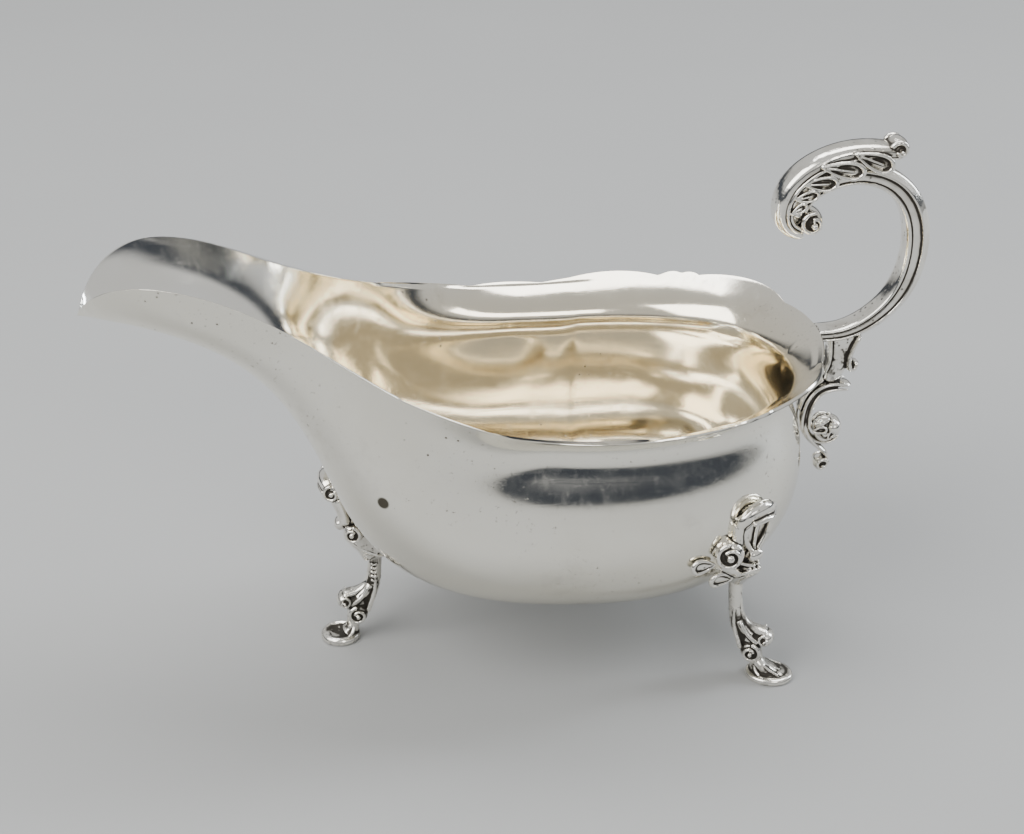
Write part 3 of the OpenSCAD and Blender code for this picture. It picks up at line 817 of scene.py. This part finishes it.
def foot(corner):
    at = corner.on_leg
    beside = unit(at(0, 1, 0) - at(0, 0, 0))
    out_way = unit(at(1, 0, 0) - at(0, 0, 0))
    stretch = 1.0 if corner.name == "front" else 1.2
    edge = [(0, 0), (0.5, 0), (0.92, 0), (1.0, 0.02), (1.06, 0.25), (1.09, 0.6), (1.08, 1.0), (1.03, 1.4)]
    dished = [(0.96, 1.7), (0.88, 1.8), (0.8, 1.7), (0.6, 1.42), (0.3, 1.22), (0, 1.15)]
    domed = [(0.95, 1.55), (0.86, 1.6), (0.78, 1.6), (0.6, 1.95), (0.3, 2.25), (0, 2.35)]
    profile = edge + (dished if corner.name == "front" else domed)

    def place(a, b):
        x = a * (len(profile) - 1)
        i = np.minimum(x.astype(int), len(profile) - 2)
        f = (x - i)[:, None]
        p = np.array(profile)
        sec = p[i] * (1 - f) + p[i + 1] * f
        turn = 2 * np.pi * b
        r = sec[:, 0] * PAD
        outward, across = (r * stretch * np.cos(turn))[:, None], (r * np.sin(turn))[:, None]
        return (at(FOOT_OUT, 0, 0) + out_way * outward + beside * across
                + np.array([0, 0, 1.0]) * sec[:, 1][:, None])

    parts = [
        hammered(52, 72, place),
        rod(sized([at(6.0, 0, 4.6), at(6.0, 0, 3.2), at(6.3, 0, 2.0), at(7.0, 0, 1.0)],
                  [(3.0, 3.4), (2.9, 3.4), (3.4, 4.2), (4.2, 5.2)]), up=beside, steps=20, around=16,
                  tips=0.02),
    ]
    for side in (-1, 1):
        parts.append(rod(sized([at(5.9, side * 1.4, 3.4), at(6.2, side * 2.2, 2.0),
                                at(7.4, side * 3.1, 1.6)],
                               [(0.8, 0.8), (0.9, 0.9), (0.6, 0.6)]), up=beside, steps=16, around=10))
    if corner.name != "front":
        parts.append(rod(sized([at(5.8, 0, 4.4), at(7.0, 0, 2.9), at(9.0, 0, 1.9), at(11.4, 0, 1.3)],
                               [(2.6, 3.4), (3.0, 4.6), (2.4, 5.4), (1.2, 4.2)]), up=beside, steps=20,
                               around=18))
        for across in (-2.0, 0, 2.0):
            parts.append(rod(sized([at(6.6, across * 0.5, 4.2), at(8.6, across * 0.95, 2.9),
                                    at(11.6, across * 1.2, 1.9)],
                                   [(0.6, 0.6), (0.7, 0.7), (0.5, 0.5)]), up=(0, 0, 1),
                                   steps=20, around=10))
    piece = cast(parts, corner.name + "_leg_foot", grain=0.13, polish=2)
    points = get_points(piece)
    points[:, 2] = np.maximum(points[:, 2], cad_low.z)
    set_points(piece, points)
    return piece


# ---------------------------------------------------------------- finishes


class Value:
    """A shader value that can be used in a sum"""

    def __init__(self, finish, socket):
        self.finish, self.socket = finish, socket

    def _with(self, operation, first, second):
        return self.finish.node("ShaderNodeMath", {"operation": operation}, {0: first, 1: second})

    def __add__(self, other):
        return self._with("ADD", self, other)

    def __sub__(self, other):
        return self._with("SUBTRACT", self, other)

    def __rsub__(self, other):
        return self._with("SUBTRACT", other, self)

    def __mul__(self, other):
        return self._with("MULTIPLY", self, other)

    __radd__, __rmul__ = __add__, __mul__

    def between(self, low, high, start=0.0, end=1.0):
        """Eases from start to end as this goes from low to high"""
        return self.finish.node("ShaderNodeMapRange", {"interpolation_type": "SMOOTHSTEP"},
                                {0: self, 1: low, 2: high, 3: start, 4: end})


class Finish:
    """A metal finish, built up node by node"""

    def __init__(self, name):
        self.material = bpy.data.materials.new(name)
        self.material.use_nodes = True
        self.tree = self.material.node_tree
        self.surface = self.tree.nodes["Principled BSDF"]
        self.place = self.node("ShaderNodeTexCoord", output="Object")

    def node(self, kind, settings=None, sockets=None, output=0):
        made = self.tree.nodes.new(kind)
        for key, value in (settings or {}).items():
            setattr(made, key, value)
        for key, value in (sockets or {}).items():
            self.join(made.inputs[key], value)
        return Value(self, made.outputs[output])

    def join(self, socket, value):
        if isinstance(value, Value):
            self.tree.links.new(value.socket, socket)
        else:
            socket.default_value = value

    def set(self, **sockets):
        for key, value in sockets.items():
            self.join(self.surface.inputs[key.replace("_", " ").title()], value)

    def stretched(self, scale, turn=(0, 0, 0)):
        return self.node("ShaderNodeMapping", None,
                         {"Vector": self.place, "Scale": scale, "Rotation": turn})

    def noise(self, scale, detail=3.0, rough=0.55, where=None):
        return self.node("ShaderNodeTexNoise", None,
                         {"Vector": where or self.place, "Scale": scale, "Detail": detail,
                          "Roughness": rough})

    def cells(self, scale, where=None):
        return self.node("ShaderNodeTexVoronoi", None, {"Vector": where or self.place, "Scale": scale})

    def blend(self, share, first, second):
        return self.node("ShaderNodeMix", {"data_type": "RGBA"}, {0: share, 6: first, 7: second}, output=2)

    def bump(self, height, strength, depth, base=None):
        sockets = {"Height": height, "Strength": strength, "Distance": depth}
        if base is not None:
            sockets["Normal"] = base
        return self.node("ShaderNodeBump", None, sockets)

    def attribute(self, name):
        return self.node("ShaderNodeAttribute", {"attribute_name": name}, output="Fac")

    def near(self, place):
        """The distance from a place, in metres"""
        return self.node("ShaderNodeVectorMath", {"operation": "DISTANCE"}, {0: self.place, 1: place},
                         output=1)

    def height(self):
        return self.node("ShaderNodeSeparateXYZ", None, {0: self.place}, output=2)

    def length(self):
        return self.node("ShaderNodeSeparateXYZ", None, {0: self.place}, output=0)


def scratches(finish):
    """Fine polishing lines in three directions, from 0 to 1"""
    lines = None
    for scale, turn in (((60, 900, 700), (0.2, 0.1, 0.4)), ((800, 50, 900), (0.1, 0.5, -0.3)),
                        ((700, 800, 40), (0.6, 0.2, 0.1))):
        band = finish.noise(1.0, 1.0, 0.4, finish.stretched(scale, turn)).between(0.6, 0.72)
        lines = band if lines is None else lines + band
    return lines


def pitting(finish, scale, share):
    """Small worn pits that gather in patches"""
    pits = finish.cells(scale).between(0.05, 0.16, 1, 0)
    patch = finish.noise(28, 2).between(share, share + 0.1)
    return pits * patch


# A round spot of black tarnish on the near side of the belly, under the throat
TARNISH_SPOT = (-0.0314, -0.0283, 0.0517)


def sheet_silver(name, light, deep, inside):
    f = Finish(name)
    cloud = f.noise(26, 4, 0.6).between(0.35, 0.7)
    smear = f.noise(150, 5, 0.6).between(0.4, 0.75)
    speck = f.noise(900, 3, 0.7).between(0.62, 0.72) * f.noise(34, 2).between(0.5, 0.62)
    lines = scratches(f)
    pits = pitting(f, 420, 0.56)
    colour = f.blend(cloud * 0.5, light, deep)
    if inside:
        depth = f.height().between(0.064, 0.080, 1, 0) * f.length().between(-0.058, -0.030)
        colour = f.blend(depth, colour, (0.86, 0.79, 0.64, 1))
        stain = f.noise(60, 5, 0.7).between(0.55, 0.75) * depth
        colour = f.blend(stain * 0.35, colour, (0.56, 0.47, 0.34, 1))
    else:
        # painted reflection: the lower part of the outside is blended towards the deeper, creamier tone,
        # where the pale floor is reflected
        low = f.height().between(0.018, 0.046, 1, 0)
        colour = f.blend(low * 0.75, colour, deep)
        stain = f.noise(45, 5, 0.7).between(0.56, 0.78)
        colour = f.blend(stain * 0.35, colour, (0.52, 0.49, 0.42, 1))
        colour = f.blend(f.near(TARNISH_SPOT).between(0.0011, 0.0016, 1, 0), colour, (0.10, 0.09, 0.07, 1))
    colour = f.blend(speck * 0.6 + pits, colour, (0.16, 0.14, 0.11, 1))
    f.set(base_color=colour, metallic=1.0,
          roughness=0.075 + 0.07 * smear + 0.06 * cloud + 0.03 * lines + 0.25 * pits + 0.2 * speck)
    wave = f.noise(38, 2, 0.5)
    first = f.bump(wave, 0.25, 0.0006)
    second = f.bump(lines * 0.4 - (pits + speck) * 1.5, 0.12, 0.00003, first)
    f.set(normal=second)
    return f.material


def cast_silver(name, bright, dark, dark_band):
    """Cast silver: bright where hands rub it, black in its hollows with patina deepened into painted shade
    and painted dark reflections, and darkened over a band of heights
    """
    f = Finish(name)
    broad = f.attribute("relief").between(-0.03, 0.10)
    fine = f.attribute("relief_fine").between(-0.004, 0.032)
    proud = f.attribute("relief").between(-0.14, -0.03, 1, 0)
    mottle = f.noise(500, 4, 0.65)
    patch = f.noise(120, 3)
    low, full, fade, high = dark_band
    blotch = f.noise(330, 3, 0.6).between(0.44, 0.56)
    # A band of heights is darkened. On the handle it covers the recessed bracket neck, with painted shade
    # there mixed with patina. On the legs it makes them darker towards the bottom.
    in_dark_band = f.height().between(low, full) * f.height().between(fade, high, 1, 0)
    band_darkening = in_dark_band * (blotch * 0.7 + 0.3 * (1 - proud))
    grain = (mottle - 0.5) * 0.9
    # painted shade: the patina in the hollows and the band above is made dark enough to stand in for shade
    # and for reflections of dark surroundings
    tarnish_and_shade = (broad * 0.85 + fine * 0.75 + band_darkening * 0.8 + grain).between(0.38, 1.0)
    stain = (patch.between(0.4, 0.7) * 0.4 + broad * 0.4) * (1 - proud * 0.8)
    pits = f.cells(750).between(0.08, 0.28, 1, 0) * f.noise(70, 2).between(0.42, 0.54) * (1 - proud * 0.5)
    grey = f.blend(stain, bright, (0.40, 0.35, 0.27, 1))
    colour = f.blend(pits * 0.8, f.blend(tarnish_and_shade, grey, dark), dark)
    f.set(base_color=colour, metallic=1 - 0.5 * tarnish_and_shade,
          roughness=0.12 + 0.4 * tarnish_and_shade + 0.1 * patch.between(0.4, 0.8) + 0.2 * pits)
    f.set(normal=f.bump(mottle - pits * 1.5, 0.35, 0.00008, f.bump(f.noise(260, 2), 0.4, 0.00025)))
    return f.material


bowl_outside = sheet_silver("bowl_silver_outside", (0.94, 0.915, 0.835, 1), (0.82, 0.785, 0.675, 1), False)
bowl_inside = sheet_silver("bowl_silver_inside", (0.95, 0.94, 0.90, 1), (0.85, 0.81, 0.71, 1), True)
# the last four numbers give the band of heights painted with shade over the recessed bracket neck
handle_silver = cast_silver("handle_cast_silver", (0.93, 0.905, 0.84, 1), (0.030, 0.025, 0.019, 1),
                            (0.057, 0.061, 0.068, 0.070))
# the last four numbers give the band of heights that is darker towards the bottom of the legs and feet
leg_silver = cast_silver("leg_cast_silver", (0.90, 0.875, 0.81, 1), (0.028, 0.024, 0.018, 1),
                         (-0.002, -0.001, 0.021, 0.025))


def finish_piece(piece, materials, slot, *nodes):
    set_points(piece, np.clip(get_points(piece), np.array(cad_low), np.array(cad_high)))
    take(piece)
    bpy.ops.object.shade_smooth()
    for m in materials:
        piece.data.materials.append(m)
    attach(piece, "root")
    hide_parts(*nodes)


bowl.data.materials.append(bowl_outside)
bowl.data.materials.append(bowl_inside)
modifier(bowl, "SOLIDIFY", thickness=WALL * MM, offset=-1, use_even_offset=True,
         use_quality_normals=True, thickness_clamp=1.0, material_offset=1)
modifier(bowl, "BEVEL", width=0.3 * MM, segments=3, limit_method="ANGLE",
         angle_limit=math.radians(50))
finish_piece(bowl, [], "polished_silver", "bowl")

bar_piece = handle_bar()
seat_on_bowl(bar_piece)
bracket_piece = bracket()
seat_on_bowl(bracket_piece)
for piece, node in ((bar_piece, "handle_scroll"), (handle_leaf(), "handle_leaf"),
                    (bracket_piece, "handle_bracket"), (boss(), "bracket_boss")):
    mark_relief(piece)
    finish_piece(piece, [handle_silver], "handle_silver", node)
for name in ("front", "left", "right"):
    corner = Corner(name)
    for make, node in ((shell, "_shell"), (leg, "_leg"), (foot, "_foot")):
        piece = make(corner)
        mark_relief(piece)
        finish_piece(piece, [leg_silver], "leg_silver", name + node)

# ---------------------------------------------------------------- studio


def plain_floor():
    put_down_tools()
    bpy.ops.mesh.primitive_plane_add(size=6, location=(0, 0, cad_low.z))
    floor = bpy.context.object
    bpy.ops.object.transform_apply(location=True, rotation=True, scale=True)
    floor.name = "studio_floor"
    f = Finish("pale_floor")
    f.set(base_color=f.blend(f.noise(6, 3), (0.345, 0.35, 0.355, 1), (0.38, 0.385, 0.385, 1)),
          roughness=0.75)
    f.surface.inputs["Specular IOR Level"].default_value = 0.2
    floor.data.materials.append(f.material)


def soft_light(name, place, target, size, power, tint=(1, 1, 1)):
    light = bpy.data.lights.new(name, "AREA")
    light.shape = "RECTANGLE"
    light.size, light.size_y = size
    light.energy = power
    light.color = tint
    lamp = bpy.data.objects.new(name, light)
    bpy.context.scene.collection.objects.link(lamp)
    lamp.location = place
    lamp.rotation_euler = (Vector(target) - Vector(place)).to_track_quat("-Z", "Y").to_euler()


plain_floor()
middle = (0, 0, 0.06)
soft_light("window_left", (-0.75, -0.35, 0.80), middle, (0.9, 0.8), 13, (1.0, 0.99, 0.96))
soft_light("overhead", (0.15, 0.35, 1.1), middle, (1.1, 0.5), 10)
soft_light("front_fill", (0.25, -1.2, 0.75), middle, (0.5, 0.35), 3, (1.0, 0.97, 0.93))
soft_light("right_strip", (0.9, 0.15, 0.45), middle, (0.2, 0.6), 5, (0.88, 0.94, 1.0))


def quiet_room():
    """A room that is dim along its walls and light towards its ceiling"""
    world = bpy.data.worlds.new("studio")
    bpy.context.scene.world = world
    world.use_nodes = True
    tree = world.node_tree
    sky = tree.nodes["Background"]
    way = tree.nodes.new("ShaderNodeTexCoord")
    parts = tree.nodes.new("ShaderNodeSeparateXYZ")
    share = tree.nodes.new("ShaderNodeMapRange")
    shade = tree.nodes.new("ShaderNodeMix")
    share.interpolation_type = "SMOOTHSTEP"
    share.inputs[1].default_value, share.inputs[2].default_value = 0.10, 0.28
    shade.data_type = "RGBA"
    shade.inputs[6].default_value = (0.075, 0.085, 0.105, 1)
    shade.inputs[7].default_value = (0.92, 0.925, 0.92, 1)
    for a, b in ((way.outputs["Generated"], parts.inputs[0]), (parts.outputs[2], share.inputs[0]),
                 (share.outputs[0], shade.inputs[0]), (shade.outputs[2], sky.inputs["Color"])):
        tree.links.new(a, b)
    sky.inputs["Strength"].default_value = 0.7


quiet_room()

camera = bpy.data.cameras.new("camera")
camera.sensor_width = 36
camera.lens = 70.3125
camera.clip_start, camera.clip_end = 0.01, 20
eye = bpy.data.objects.new("camera", camera)
bpy.context.scene.collection.objects.link(eye)
eye.location = (cad_low.x + 37.5 * MM, -390.6 * MM, 264.7 * MM)
eye.rotation_euler = (math.radians(62), 0, math.radians(-8))
bpy.context.scene.camera = eye
